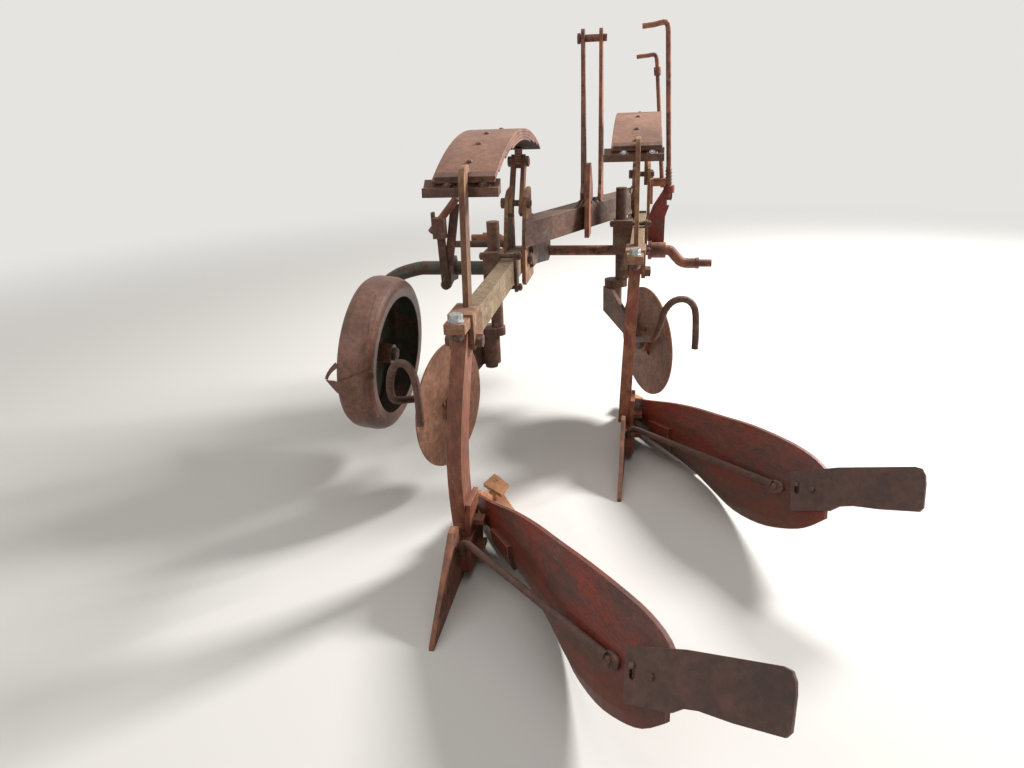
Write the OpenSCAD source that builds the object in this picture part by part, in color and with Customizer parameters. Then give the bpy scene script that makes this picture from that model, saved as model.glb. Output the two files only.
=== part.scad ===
// Two-furrow mounted moldboard plough with leaf-spring stone release.
// Millimetres, Z up, Y is the direction of travel, X to the right.
// Origin: on the ground, below the middle of the whole plough.

/* [Body spacing] */
// Sideways distance from the rear body to the front body
furrow_width = 390; // [340:5:420]
// Distance along the travel direction between the bodies
body_gap = 700; // [680:5:720]
// Sideways place of the rear leg
rear_x = -212; // [-230:1:-190]
// Place of the rear head bolt along the travel direction
rear_y = -1200; // [-1260:5:-1150]

/* [Frame] */
// Outside size of the square diagonal tube
tube_size = 80; // [70:1:90]
// Height of the middle of the diagonal tube
tube_z = 722; // [710:1:735]
// Thickness of the bracket plates
plate_t = 12; // [8:1:16]
// Clear width between a pair of bracket plates
plate_gap = 48; // [46:1:60]
// Width of a body beam
beam_w = 44; // [36:1:46]
// Height of a body beam
beam_h = 72; // [60:1:80]
// Height of the top face of the body beams
beam_top = 672; // [660:1:680]

/* [Headstock] */
// Height of the top link pin
mast_pin_z = 1313; // [1250:1:1340]
// Diameter of the top link pin
mast_pin_d = 25; // [19:0.5:26]
// Clear width between the mast bars
mast_gap = 52; // [46:1:60]
// Thickness of a mast bar
mast_t = 12; // [8:1:14]
// Diameter of the lower link pins
link_pin_d = 28; // [22:0.5:30]
// Distance between the shoulders of the lower link pins
link_span = 825; // [780:1:840]
// Height of the cross shaft axis
shaft_z = 568; // [560:1:574]
// Place of the cross shaft along the travel direction
shaft_y = 74; // [66:1:90]
// Crank throw of the cross shaft ends
shaft_throw = 50; // [30:1:56]

/* [Bodies] */
// Thickness of the leg
leg_t = 36; // [28:1:40]
// Depth of the leg, front to rear
leg_d = 84; // [70:1:95]
// Thickness of the moldboard steel
board_t = 10; // [8:0.5:10]
// Thickness of the share
share_t = 11; // [8:1:14]
// Diameter of the stay rod
stay_d = 18; // [14:1:22]

/* [Stone release] */
// Width of the spring leaves
leaf_w = 155; // [130:1:160]
// Thickness of one spring leaf
leaf_t = 8; // [6:1:9]
// Radius of the main leaf
leaf_r = 940; // [900:5:1000]

/* [Coulters] */
// Diameter of a coulter disc
disc_d = 382; // [350:1:396]
// Thickness of a coulter disc
disc_t = 5; // [4:0.5:6]
// Trailing length from the stem to the disc centre
coulter_trail = 285; // [270:1:295]
// Diameter of the coulter stem
stem_d = 40; // [34:1:41]
// Sideways crank of the stem above the arm
stem_crank = 26; // [20:1:32]

/* [Depth wheel] */
// Outside diameter of the wheel
wheel_d = 494; // [480:2:510]
// Width of the wheel rim
wheel_w = 110; // [100:1:126]
// Lean of the wheel, top to the right
wheel_camber = 5.3; // [0:0.1:6]
// Turn of the wheel out of the travel direction
wheel_toe = 3.2; // [0:0.1:4]

/* [Show] */
// One sub-part by name, or all of them

/* [Hidden] */
$fn = 48;

seat = 0.3;
rear_at = [rear_x, rear_y];
front_at = [rear_x + furrow_width, rear_y + body_gap];
rust = [0.45, 0.26, 0.18];
dark = [0.28, 0.18, 0.15];
red = [0.6, 0.14, 0.1];
ochre = [0.62, 0.48, 0.26];
green = [0.2, 0.4, 0.3];
steel = [0.7, 0.72, 0.74];
brown = [0.36, 0.24, 0.18];

function lerp(a, b, t) = a + (b - a) * t;
function unit(v) = v / norm(v);

module at_body(place) {
    translate([place[0], place[1], 0])
        children();
}

// A straight round bar between two points
module bar(a, b, d) {
    v = b - a;
    translate(a)
        rotate([0, acos(v[2] / norm(v)), atan2(v[1], v[0])])
            cylinder(h = norm(v), d = d, $fn = 32);
}

// A round rod swept along a row of points, mitred at each bend
rod_sides = 16;
function slide(w, along, n) = w - along * ((w * n) / (along * n));
function heading(pts, i) = unit(pts[i + 1] - pts[i]);
function bend(pts, i) = i >= len(pts) - 1 ? heading(pts, len(pts) - 2)
    : unit(heading(pts, i - 1) + heading(pts, i));
function rod_rings(pts, ring, i) = i >= len(pts) ? [ring]
    : concat([ring], rod_rings(pts,
        [for (w = ring) slide(w, heading(pts, i - 1), bend(pts, i))], i + 1));
module rod(pts, d) {
    h = heading(pts, 0);
    u = unit(cross(h, abs(h[0]) > 0.8 ? [0, 0, 1] : [1, 0, 0]));
    v = cross(h, u);
    ring = [for (k = [0 : rod_sides - 1]) let (a = k * 360 / rod_sides)
        (u * cos(a) + v * sin(a)) * d / 2];
    rings = rod_rings(pts, ring, 1);
    m = rod_sides;
    n = len(pts);
    polyhedron(
        points = [for (i = [0 : n - 1]) for (w = rings[i]) pts[i] + w],
        faces = concat(
            [for (i = [0 : n - 2]) for (k = [0 : m - 1]) let (e = (k + 1) % m)
                each [[i * m + k, (i + 1) * m + k, (i + 1) * m + e],
                    [i * m + k, (i + 1) * m + e, i * m + e]]],
            [[for (k = [0 : m - 1]) k],
                [for (k = [m - 1 : -1 : 0]) (n - 1) * m + k]]));
}

// Points of a smooth curve through a row of points, k steps to a span
function curve(pts, k) = concat([for (i = [0 : len(pts) - 2]) for (j = [0 : k - 1])
    cr(pts[max(i - 1, 0)], pts[i], pts[i + 1], pts[min(i + 2, len(pts) - 1)], j / k)],
    [pts[len(pts) - 1]]);

// A flat bar standing on edge between two points of one X plane
module flat(a, b, w, t) {
    v = b - a;
    ang = atan2(v[2], v[1]);
    translate(a)
        rotate([ang, 0, 0])
            translate([-t / 2, -w / 2, -w / 2])
                cube([t, norm(v) + w, w]);
}

module hex(d, h) {
    cylinder(h = h, d = d, $fn = 6);
}

// Closed shell between two grids of points
function grid_faces(n, m) = [for (i = [0 : n - 2]) for (j = [0 : m - 2])
    each [[i * m + j, i * m + j + 1, (i + 1) * m + j + 1],
        [i * m + j, (i + 1) * m + j + 1, (i + 1) * m + j]]];
function flip(fs) = [for (f = fs) [f[2], f[1], f[0]]];
function add(fs, k) = [for (f = fs) [f[0] + k, f[1] + k, f[2] + k]];
function strip(a, b) = [for (i = [0 : len(a) - 2])
    each [[a[i], b[i], b[i + 1]], [a[i], b[i + 1], a[i + 1]]]];

module shell(front, back) {
    n = len(front);
    m = len(front[0]);
    k = n * m;
    pts = concat([for (r = front) each r], [for (r = back) each r]);
    fs = grid_faces(n, m);
    e1 = [for (i = [0 : n - 1]) i * m];
    e2 = [for (i = [0 : n - 1]) i * m + m - 1];
    e3 = [for (j = [0 : m - 1]) j];
    e4 = [for (j = [0 : m - 1]) (n - 1) * m + j];
    k1 = [for (v = e1) v + k];
    k2 = [for (v = e2) v + k];
    k3 = [for (v = e3) v + k];
    k4 = [for (v = e4) v + k];
    polyhedron(points = pts, faces = flip(concat(fs, flip(add(fs, k)),
        strip(k1, e1), strip(e2, k2), strip(e3, k3), strip(k4, e4))),
        convexity = 6);
}

// Smooth value between the rows of a table, end to end
function cr(a, b, c, d, t) = 0.5 * (2 * b + (c - a) * t
    + (2 * a - 5 * b + 4 * c - d) * t * t
    + (3 * b - a - 3 * c + d) * t * t * t);
function row_at(tab, col, s) = let (
    n = len(tab) - 1,
    i = min(floor(s * n), n - 1),
    t = s * n - i)
    cr(tab[max(i - 1, 0)][col], tab[i][col], tab[i + 1][col],
        tab[min(i + 2, n)][col], t);

// Moldboard stations from the shin to the tail.
// Columns: lower edge, upper edge, hollow of the face
LOWER = 0;
UPPER = 1;
HOLLOW = 2;
board_rows = [
    [[4, 196, 34], [-4, 120, 152], 12],
    [[73, 76, 24], [62, 26, 184], 22],
    [[145, -28, 16], [134, -64, 216], 34],
    [[209, -128, 10], [200, -152, 240], 40],
    [[262, -245, 8], [264, -242, 258], 40],
    [[308, -365, 18], [334, -338, 277], 34],
    [[363, -475, 46], [404, -420, 280], 24],
    [[412, -548, 80], [458, -478, 272], 18],
    [[455, -598, 116], [496, -530, 256], 14],
    [[494, -622, 158], [516, -575, 226], 8]];
board_out = unit([0.8, 0.6, 0]);
board_n = 28;
board_m = 9;

function board_pt(s, t, off) = let (
    lo = row_at(board_rows, LOWER, s),
    up = row_at(board_rows, UPPER, s),
    h = row_at(board_rows, HOLLOW, s))
    lerp(lo, up, t) - board_out * (h * 4 * t * (1 - t) + off);

module moldboard() {
    color(red)
        shell([for (i = [0 : board_n - 1]) [for (j = [0 : board_m - 1])
                board_pt(i / (board_n - 1), j / (board_m - 1), 0)]],
            [for (i = [0 : board_n - 1]) [for (j = [0 : board_m - 1])
                board_pt(i / (board_n - 1), j / (board_m - 1), board_t)]]);
}

// Share blade: the cutting edge runs from the point out to the wing
share_point = [-20, 420];
share_knee = [66, 262];
share_wing = [326, -57];
share_rake = 8;
share_nose = 30;
share_turn = atan2(share_wing[1] - share_point[1], share_wing[0] - share_point[0]);

module share() {
    back = [for (i = [6 : -1 : 0]) let (q = row_at(board_rows, LOWER, i / 18))
        [q[0] + 3, q[1] + 2]];
    nose = share_nose * unit(share_point - share_wing);
    color(rust)
        translate([share_point[0], share_point[1], 0])
            rotate([0, 0, share_turn])
                rotate([-share_rake, 0, 0])
                    rotate([0, 0, -share_turn])
                        linear_extrude(height = share_t)
                            polygon(concat([nose, share_knee - share_point, share_wing - share_point,
                                share_wing - share_point + [-16, -14]],
                                [for (q = back) q - share_point],
                                [[0, back[6][1] - share_point[1]], [0, -90]]));
}

// Shin: wear piece from the share point up to the board, nose plate on it
nose_low = 46;
module shin() {
    color(rust)
        union() {
            translate([-19.8, 0, 0])
                rotate([90, 0, 90])
                    linear_extrude(height = 15)
                        polygon([[204, 32], [330, 26], [382, 24], [386, nose_low + 1],
                            [286, nose_low + 1], [222, 96], [160, 138], [140, 140]]);
            difference() {
                translate([0, 0, nose_low])
                    linear_extrude(height = 11)
                        polygon([[-44, 341], [-22, 406], [33, 345], [23, 281]]);
                for (q = [[-8, 364], [-14, 356]])
                    translate([q[0], q[1], nose_low - 1])
                        rotate([0, 0, -48])
                            translate([-7, -2.2, 0])
                                cube([14, 4.4, 13]);
            }
        }
}

module landside() {
    color(dark)
        difference() {
            translate([-32, 0, 0])
                rotate([90, 0, 90])
                    linear_extrude(height = 12)
                        polygon([[-330, 0], [316, 0], [330, 20], [240, 84], [110, 108],
                            [-20, 108], [-46, 150], [-76, 170], [-108, 170],
                            [-326, 8]]);
            for (y = [-20, 70])
                translate([-40, y, 62])
                    rotate([0, 90, 0])
                        cylinder(h = 30, d = 13);
        }
}

// Frog: carries leg, landside and board; its saddle follows the board's back
saddle_i = [4, 7];
saddle_j = [2, 5];
module frog() {
    color(dark)
        union() {
            translate([-19.8, -60, 26])
                cube([28, 150, 82]);
            rotate([0, leg_lean, 0])
                translate([18.1 - leg_x, -30, 60])
                    cube([13, 96, 142]);
            for (z = [56, 128])
                translate([0, 2, z])
                    cube([32, 32, 14]);
            shell([for (i = [saddle_i[0] : saddle_i[1]])
                    [for (j = [saddle_j[0] : saddle_j[1]])
                        board_pt(i / (board_n - 1), j / (board_m - 1), board_t + seat)]],
                [for (i = [saddle_i[0] : saddle_i[1]])
                    [for (j = [saddle_j[0] : saddle_j[1]])
                        board_pt(i / (board_n - 1), j / (board_m - 1), board_t + 12)]]);
        }
}

// Leg: flat bar bowed to the rear in the middle
leg_top = 640;
leg_low = 112;
leg_lean = 3;
leg_steps = 14;
leg_x = leg_top * sin(leg_lean);
pivot_y = 56;
pivot_z = 612;
pivot_d = 20;
function leg_back(z) = -64 + 80 * pow(abs(z - 350) / 290, 1.7);
function leg_z(i) = lerp(leg_low, leg_top, i / leg_steps);
module leg() {
    color(red)
        difference() {
            rotate([0, leg_lean, 0])
                translate([-leg_x, 0, 0])
                    rotate([90, 0, 90])
                        translate([0, 0, -leg_t / 2])
                            linear_extrude(height = leg_t)
                                polygon(concat(
                                    [for (i = [0 : leg_steps])
                                        [leg_back(leg_z(i)), leg_z(i)]],
                                    [for (i = [leg_steps : -1 : 0])
                                        [leg_back(leg_z(i)) + leg_d, leg_z(i)]]));
            translate([-leg_t, pivot_y, pivot_z])
                rotate([0, 90, 0])
                    cylinder(h = leg_t * 2, d = pivot_d + 0.4);
        }
}

// Body beam, swinging on the bracket pivot
hinge_y = 835;
hinge_z = beam_top - beam_h / 2;
hinge_d = 24;
module beam() {
    color(ochre)
        difference() {
            union() {
                translate([-beam_w / 2, 130, beam_top - beam_h])
                    cube([beam_w, hinge_y - 130, beam_h]);
                translate([-beam_w / 2, hinge_y, hinge_z])
                    rotate([0, 90, 0])
                        cylinder(h = beam_w, d = beam_h);
            }
            translate([-beam_w, hinge_y, hinge_z])
                rotate([0, 90, 0])
                    cylinder(h = beam_w * 2, d = hinge_d + 0.4);
        }
}

// Forged head between beam and leg
head_top = 684;
lug_low = 654;
bolt_y = -8;
module head() {
    color(ochre)
        difference() {
            union() {
                translate([-31, 30, 596])
                    cube([62, 99.8, head_top - 596]);
                translate([-25, -32, lug_low])
                    cube([50, 70, 24]);
            }
            translate([-21.5, -60, 500])
                cube([40.2, 162, leg_top + 3 - 500]);
            translate([-60, pivot_y, pivot_z])
                rotate([0, 90, 0])
                    cylinder(h = 120, d = pivot_d + 0.4);
            translate([0, bolt_y, 600])
                cylinder(h = 120, d = 20.6);
        }
}

// Bolt, washer and nut of the head, and the leg pivot
module head_bolt() {
    color(steel) {
        translate([0, bolt_y, 0])
            union() {
                translate([0, 0, lug_low + 24])
                    cylinder(h = 4, d = 38);
                translate([0, 0, lug_low + 28])
                    hex(34, 15);
                translate([0, 0, lug_low - 22])
                    cylinder(h = 52, d = 20);
                translate([0, 0, lug_low - 17])
                    hex(33, 17);
            }
        translate([0, pivot_y, pivot_z])
            rotate([0, 90, 0])
                union() {
                    translate([0, 0, -44])
                        cylinder(h = 92, d = pivot_d);
                    translate([0, 0, -45])
                        hex(33, 14);
                    translate([0, 0, 31])
                        hex(33, 16);
                }
    }
}

// Tail piece: plate bolted behind the tail of the board
tail_at = [417, -524, 232];
tail_e1 = unit([262, -139, 101]);
tail_e2 = unit([0, -69, -84] - tail_e1 * (tail_e1 * [0, -69, -84]));
tail_e3 = cross(tail_e1, tail_e2);
module on_tail() {
    multmatrix([[tail_e1[0], tail_e2[0], tail_e3[0], tail_at[0]],
        [tail_e1[1], tail_e2[1], tail_e3[1], tail_at[1]],
        [tail_e1[2], tail_e2[2], tail_e3[2], tail_at[2]], [0, 0, 0, 1]])
        children();
}
module tail_piece() {
    color(brown)
        on_tail()
            translate([0, 0, tail_off])
                difference() {
                    linear_extrude(height = tail_t)
                        polygon([[0, 2], [120, -5], [294, 0], [308, 5],
                            [314, 20], [314, 40], [307, 94], [298, 103],
                            [210, 97], [150, 89], [120, 90], [96, 101], [0, 99]]);
                    for (q = [[16, 36], [16, 44], [16, 52], [56, 48]])
                        translate([q[0], q[1], -1])
                            cylinder(h = tail_t + 2, d = 13);
                }
    color(brown)
        for (q = tail_bolts)
            bar(board_pt(q[0], q[1], board_t) - board_normal(q[0], q[1]) * 0.6,
                board_pt(q[0], q[1], board_t) - board_normal(q[0], q[1]) * q[2], 20);
}

// Unit normal of the board at a place on it, pointing to its face
function board_normal(s, t) = unit(cross(
    board_pt(s, t + 0.02, 0) - board_pt(s, t - 0.02, 0),
    board_pt(s + 0.01, t, 0) - board_pt(s - 0.01, t, 0)));
// Distance pieces of the tail plate. Columns: place along, place up, length
tail_bolts = [[0.85, 0.42, 9], [0.9, 0.45, 8]];
tail_t = 10;
tail_off = 14.2 - tail_t - 0.85 * board_t;

module stay() {
    color(rust)
        rod(concat([[-8, -60.1, 92]], curve([[-8, -66, 92], [-10, -84, 104],
            [-6, -92, 124], [12, -98, 134], [60, -150, 141],
            stay_end + (board_t + 0.4) * [-0.86, 0.55, 0.16]], 3)), stay_d);
}
stay_end = [386.9, -507.4, 180];

// Spring pack: leaves bent about one centre, rear end to the left in the table
spring_x = -8;
spring_y = 570;
spring_top = 1062;
// Columns: rear angle, front angle
leaf_rows = [[-25, 24], [-21, 20], [-15, 16], [-9, 11]];
LEAF_REAR = 0;
LEAF_FRONT = 1;
tail_y = spring_y + leaf_r * sin(leaf_rows[0][LEAF_REAR]);
tail_z = spring_top - leaf_r * (1 - cos(leaf_rows[0][LEAF_REAR]));
eye_y = spring_y + leaf_r * sin(leaf_rows[0][LEAF_FRONT]) - 22.3;
eye_z = spring_top - leaf_r * (1 - cos(leaf_rows[0][LEAF_FRONT])) - 42.7;
module spring() {
    color(rust)
        union() {
            for (i = [0 : len(leaf_rows) - 1])
                translate([spring_x, spring_y, spring_top - leaf_r])
                    rotate([0, 90, 0])
                        rotate([0, 0, 180 - leaf_rows[i][LEAF_FRONT]])
                            rotate_extrude($fn = 360,
                                angle = leaf_rows[i][LEAF_FRONT] - leaf_rows[i][LEAF_REAR])
                                translate([leaf_r - leaf_t * (i + 1), -leaf_w / 2])
                                    square([leaf_t + 0.01, leaf_w]);
            difference() {
                union() {
                    translate([-10, eye_y, eye_z])
                        rotate([0, 90, 0])
                            cylinder(h = 20, d = 44);
                    translate([-10, eye_y - 20, eye_z])
                        cube([20, 36, 42]);
                }
                translate([-20, eye_y, eye_z])
                    rotate([0, 90, 0])
                        cylinder(h = 40, d = 20.4);
            }
        }
}

// Clip: bar under the rear end of the spring and strap over it
module spring_clip() {
    color(dark) {
        translate([-108, tail_y, tail_z])
            rotate([90, 0, 90])
                linear_extrude(height = 188)
                    polygon([[-14.1, -37.9], [21.3, -31.9], [21.3, 0.7], [3.7, -16.1],
                        [-11.7, -16.1]]);
        translate([-78, tail_y, tail_z])
            rotate([90, 0, 90])
                linear_extrude(height = 150)
                    polygon([[-1.2, -0.1], [19.3, 9.1], [17.3, 18.1], [-4.7, 9.1]]);
    }
}

// Pull bar: foot on the head, hook over the clip's strap
// Columns: place and height from the rear end of the main leaf
hook_rows = [[-11.1, -7.9], [-9.7, 18.4], [11.3, 18.4], [12.3, 24], [10, 31], [3, 35.5],
    [-8, 37], [-22, 35.5], [-36, 31], [-45, 22], [-49.3, 11.1]];
module pull_bar() {
    color(ochre)
        translate([-7, 0, 0])
            rotate([90, 0, 90])
                linear_extrude(height = 14)
                    polygon(concat([[90.5, head_top + 0.2], [130.7, head_top + 0.2]],
                        [for (q = hook_rows) [tail_y + q[0], tail_z + q[1]]]));
}

// Twin struts from the bracket to the front eye of the spring
strut_y = 850;
strut_z = 815;
module strut() {
    color(ochre)
        for (x = [-17, 17])
            difference() {
                translate([x, 0, 0])
                    flat([0, strut_y - 5, strut_z - 20], [0, eye_y, eye_z], 34, 13.4);
                for (q = [[strut_y, strut_z], [eye_y, eye_z]])
                    translate([-40, q[0], q[1]])
                        rotate([0, 90, 0])
                            cylinder(h = 80, d = 20.4);
            }
}

// Bracket plates with the beam between them
plate_a = 768;
plate_b = 940;
module bracket() {
    color(dark)
        for (s = [-1, 1])
            translate([s * (plate_gap + plate_t) / 2 - plate_t / 2, 0, 0])
                rotate([90, 0, 90])
                    difference() {
                        linear_extrude(height = plate_t)
                            polygon([[plate_a, 572], [plate_a + 14, 560],
                                [plate_b, 560], [plate_b, 850], [plate_b - 14, 858],
                                [872, 852], [842, 836], [828, 808], [802, 740],
                                [776, 650]]);
                        for (q = [[hinge_y, hinge_z, hinge_d], [strut_y, strut_z, 20]])
                            translate([q[0], q[1], -1])
                                cylinder(h = plate_t + 2, d = q[2] + 0.4);
                    }
}

// Bolts of the bracket: columns are y, z, diameter, half length
bracket_pins = [[hinge_y, hinge_z, hinge_d, 52], [strut_y, strut_z, 20, 50],
    [eye_y, eye_z, 20, 36]];
module bracket_bolts() {
    color(dark)
        for (q = bracket_pins)
            translate([0, q[0], q[1]])
                rotate([0, 90, 0])
                    union() {
                        translate([0, 0, -q[3]])
                            cylinder(h = q[3] * 2, d = q[2]);
                        translate([0, 0, -q[3]])
                            hex(q[2] * 1.7, q[3] > 40 ? q[3] - 36.1 : 12.1);
                        translate([0, 0, q[3] > 40 ? 36.1 : 23.9])
                            hex(q[2] * 1.7, q[3] > 40 ? q[3] - 40 : 10);
                    }
}

// Frame
rear_in = rear_x + plate_gap / 2 + plate_t;
front_in = rear_x + furrow_width - plate_gap / 2 - plate_t;
tube_ya = rear_y + 865;
tube_yb = rear_y + body_gap + 790;
tube_turn = atan2(tube_yb - tube_ya, front_in - rear_in);
module tube_box(size) {
    translate([rear_in, tube_ya, tube_z])
        rotate([0, 0, tube_turn])
            translate([-200, -size / 2, -size / 2])
                cube([1200, size, size]);
}
module main_tube() {
    color(dark)
        intersection() {
            difference() {
                tube_box(tube_size);
                tube_box(tube_size - 16);
            }
            translate([rear_in + 0.1, -1000, 0])
                cube([front_in - rear_in - 0.2, 2000, 1000]);
        }
}

mast_y = 118;
module mast_bars() {
    color(rust)
        difference() {
            for (s = [-1, 1])
                translate([s * (mast_gap + mast_t) / 2 - mast_t / 2, mast_y, 0])
                    rotate([90, 0, 90])
                        difference() {
                            linear_extrude(height = mast_t)
                                polygon([[-100, 690], [46, 690], [46, 1000],
                                    [30, 1180], [24, 1334], [14, 1344],
                                    [-14, 1344], [-24, 1334], [-30, 1180],
                                    [-70, 820], [-100, 790]]);
                            translate([0, mast_pin_z, -1])
                                cylinder(h = mast_t + 2, d = mast_pin_d + 0.2);
                        }
            tube_box(tube_size + 0.2);
        }
}

module mast_pin() {
    color(dark)
        translate([0, mast_y, mast_pin_z])
            rotate([0, 90, 0])
                union() {
                    translate([0, 0, -52])
                        cylinder(h = 104, d = mast_pin_d);
                    translate([0, 0, -52])
                        cylinder(h = 10, d = 36);
                }
}

module mast_gusset() {
    color(dark)
        difference() {
            translate([-8, 0, 0])
                rotate([90, 0, 90])
                    linear_extrude(height = 16)
                        polygon([[-150, 660], [-60, 660], [-60, 770], [30, 770],
                            [30, 820], [-40, 905], [-90, 905], [-150, 700]]);
            tube_box(tube_size + 0.2);
        }
}

// Hangers that carry the cross shaft
module hangers() {
    color(dark) {
        difference() {
            translate([rear_in + 0.1, 0, 0])
                rotate([90, 0, 90])
                    linear_extrude(height = 12)
                        polygon([[-336, 600], [-336, 672], [-270, 672],
                            [shaft_y, 622], [shaft_y + 40, 600],
                            [shaft_y + 40, 545], [shaft_y - 20, 535], [-270, 596]]);
            translate([-400, shaft_y, shaft_z])
                rotate([0, 90, 0])
                    cylinder(h = 800, d = 38.4);
        }
        difference() {
            translate([front_in - 12.1, 0, 0])
                rotate([90, 0, 90])
                    linear_extrude(height = 12)
                        polygon([[305, 600], [305, 672], [260, 672],
                            [shaft_y + 40, 640], [shaft_y - 14, 604],
                            [shaft_y - 28, 592], [shaft_y - 28, 540],
                            [shaft_y + 34, 540]]);
            translate([-400, shaft_y, shaft_z])
                rotate([0, 90, 0])
                    cylinder(h = 800, d = 38.4);
        }
    }
}

shaft_x = -10;
pin_out = 46;
module cross_shaft() {
    half = link_span / 2;
    color(rust)
        translate([shaft_x, shaft_y, shaft_z])
            union() {
                bar([-290, 0, 0], [290, 0, 0], 38);
                for (e = [-1, 1]) {
                    rod(curve([[e * 289, 0, 0], [e * 308, 0, -e * 4],
                        [e * 340, 0, -e * (shaft_throw - 10)],
                        [e * 366, 0, -e * shaft_throw],
                        [e * (half - 9), 0, -e * shaft_throw]], 3), 38);
                    bar([e * (half - 12), 0, -e * shaft_throw],
                        [e * half, 0, -e * shaft_throw], 42);
                    bar([e * (half - 3), 0, -e * shaft_throw],
                        [e * (half + pin_out), 0, -e * shaft_throw], link_pin_d);
                }
                bar([lever_x + 14 - shaft_x, 0, 0], [lever_x + 66 - shaft_x, 0, 0], 58);
            }
}

// Lever and nut of the levelling screw
lever_x = rear_x + furrow_width + beam_w / 2 + 12;
screw_x = lever_x + 50;
screw_foot = lever_x + 72;
screw_y = 104;
screw_d = 18;
module shaft_lever() {
    color(red)
        difference() {
            union() {
                translate([lever_x, shaft_y, shaft_z])
                    rotate([0, 90, 0])
                        cylinder(h = 13.8, d = 70);
                translate([lever_x, screw_y + 6, shaft_z])
                    rotate([90, 0, 0])
                        linear_extrude(height = 12)
                            polygon([[0, -30], [58, -30], [60, 120], [84, 190],
                                [84, 230], [58, 230], [14, 160], [0, 120]]);
                translate([screw_foot - 1, screw_y, 776])
                    cylinder(h = 26, d = 40);
            }
            translate([lever_x - 5, shaft_y, shaft_z])
                rotate([0, 90, 0])
                    cylinder(h = 30, d = 38.2);
            translate([lever_x + 13.8, shaft_y, shaft_z])
                rotate([0, 90, 0])
                    cylinder(h = 80, d = 58.6);
            bar([screw_foot, screw_y, 750] - [-0.75, 0, 20], [screw_x + 1, screw_y, 1323], screw_d + 0.4);
        }
}

module level_screw() {
    color(rust) {
        rod(curve([[screw_x - 88, screw_y, 1342], [screw_x - 50, screw_y, 1345],
            [screw_x - 8, screw_y, 1350], [screw_x + 1, screw_y, 1322]], 4), screw_d);
        bar([screw_foot, screw_y, 750], [screw_x + 1, screw_y, 1323], screw_d);
    }
}

// Screw of the furrow width, with the arm that holds its nut
width_y = 475;
width_top = rear_x + furrow_width + 49;
width_foot = width_top + 34;
module width_screw() {
    arm_x = rear_x + furrow_width + plate_gap / 2 + plate_t + 0.1;
    color(rust) {
        rod(curve([[width_top - 80, width_y, 1250], [width_top - 40, width_y, 1253],
            [width_top - 8, width_y, 1254], [width_top, width_y, 1226]], 4), 16);
        bar([width_foot + 1, width_y, 745], [width_top, width_y, 1227], 16);
        difference() {
            union() {
                translate([arm_x, 386, 690])
                    cube([10, width_y - 365, 100]);
                translate([arm_x, width_y - 20, 752])
                    cube([width_foot + 20 - arm_x, 40, 30]);
            }
            bar([width_foot + 1, width_y, 740], [width_top, width_y, 1227], 16.2);
        }
    }
}

// Coulters: stem place beside the beam and swing of the arm
rear_stem_at = [rear_x - 48, rear_y + 688, 0];
front_stem_at = [rear_x + furrow_width - 65, rear_y + body_gap + 520, 24];
rear_swing = 15.5;
front_swing = -27;
stem_top = 785;
sleeve_low = 322;
sleeve_top = 418;
flange_t = 27;
module stem(at) {
    flange = sleeve_top + 1;
    color(dark)
        translate(at)
            union() {
                translate([0, 0, flange])
                    cylinder(h = stem_top - flange, d = stem_d);
                translate([0, 0, flange])
                    cylinder(h = flange_t, d = stem_d + 10);
                translate([-stem_crank, -33, flange])
                    cube([stem_crank, 62, flange_t]);
                translate([-stem_crank, 0, flange])
                    cylinder(h = flange_t, d = 68);
                translate([-stem_crank, 0, sleeve_low - 14])
                    cylinder(h = flange + 15 - sleeve_low, d = pivot_pin);
                translate([-stem_crank, 0, sleeve_low - 15])
                    cylinder(h = 14, d = 42);
            }
}

// Clamp block, back plate and bolts that hold a stem to the beam
pivot_pin = 34;
clamp_low = 574;
clamp_high = 696;
module stem_clamp(at, beam_x) {
    face = beam_x - beam_w / 2 - 0.1;
    color(dark) {
        difference() {
            translate([at[0] - 28, at[1] - 46, clamp_low])
                cube([face - at[0] + 28, 70, clamp_high - clamp_low]);
            translate([at[0], at[1], 500])
                cylinder(h = 300, d = stem_d + 0.1);
            for (z = [clamp_low + 12, clamp_high - 12])
                translate([at[0] - 40, at[1] - 34, z])
                    rotate([0, 90, 0])
                        cylinder(h = 200, d = 14.2);
        }
        difference() {
            translate([beam_x + beam_w / 2 + 0.1, at[1] - 50, clamp_low])
                cube([9, 34, clamp_high - clamp_low]);
            for (z = [clamp_low + 12, clamp_high - 12])
                translate([at[0] - 40, at[1] - 34, z])
                    rotate([0, 90, 0])
                        cylinder(h = 200, d = 14.2);
        }
        for (z = [clamp_low + 12, clamp_high - 12])
            translate([at[0], at[1] - 34, z])
                rotate([0, 90, 0])
                    union() {
                        translate([0, 0, -40])
                            cylinder(h = beam_x - at[0] + 84, d = 14);
                        translate([0, 0, -38])
                            hex(24, 9.9);
                        translate([0, 0, beam_x - at[0] + beam_w / 2 + 9.2])
                            hex(24, 10);
                    }
    }
}

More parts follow.
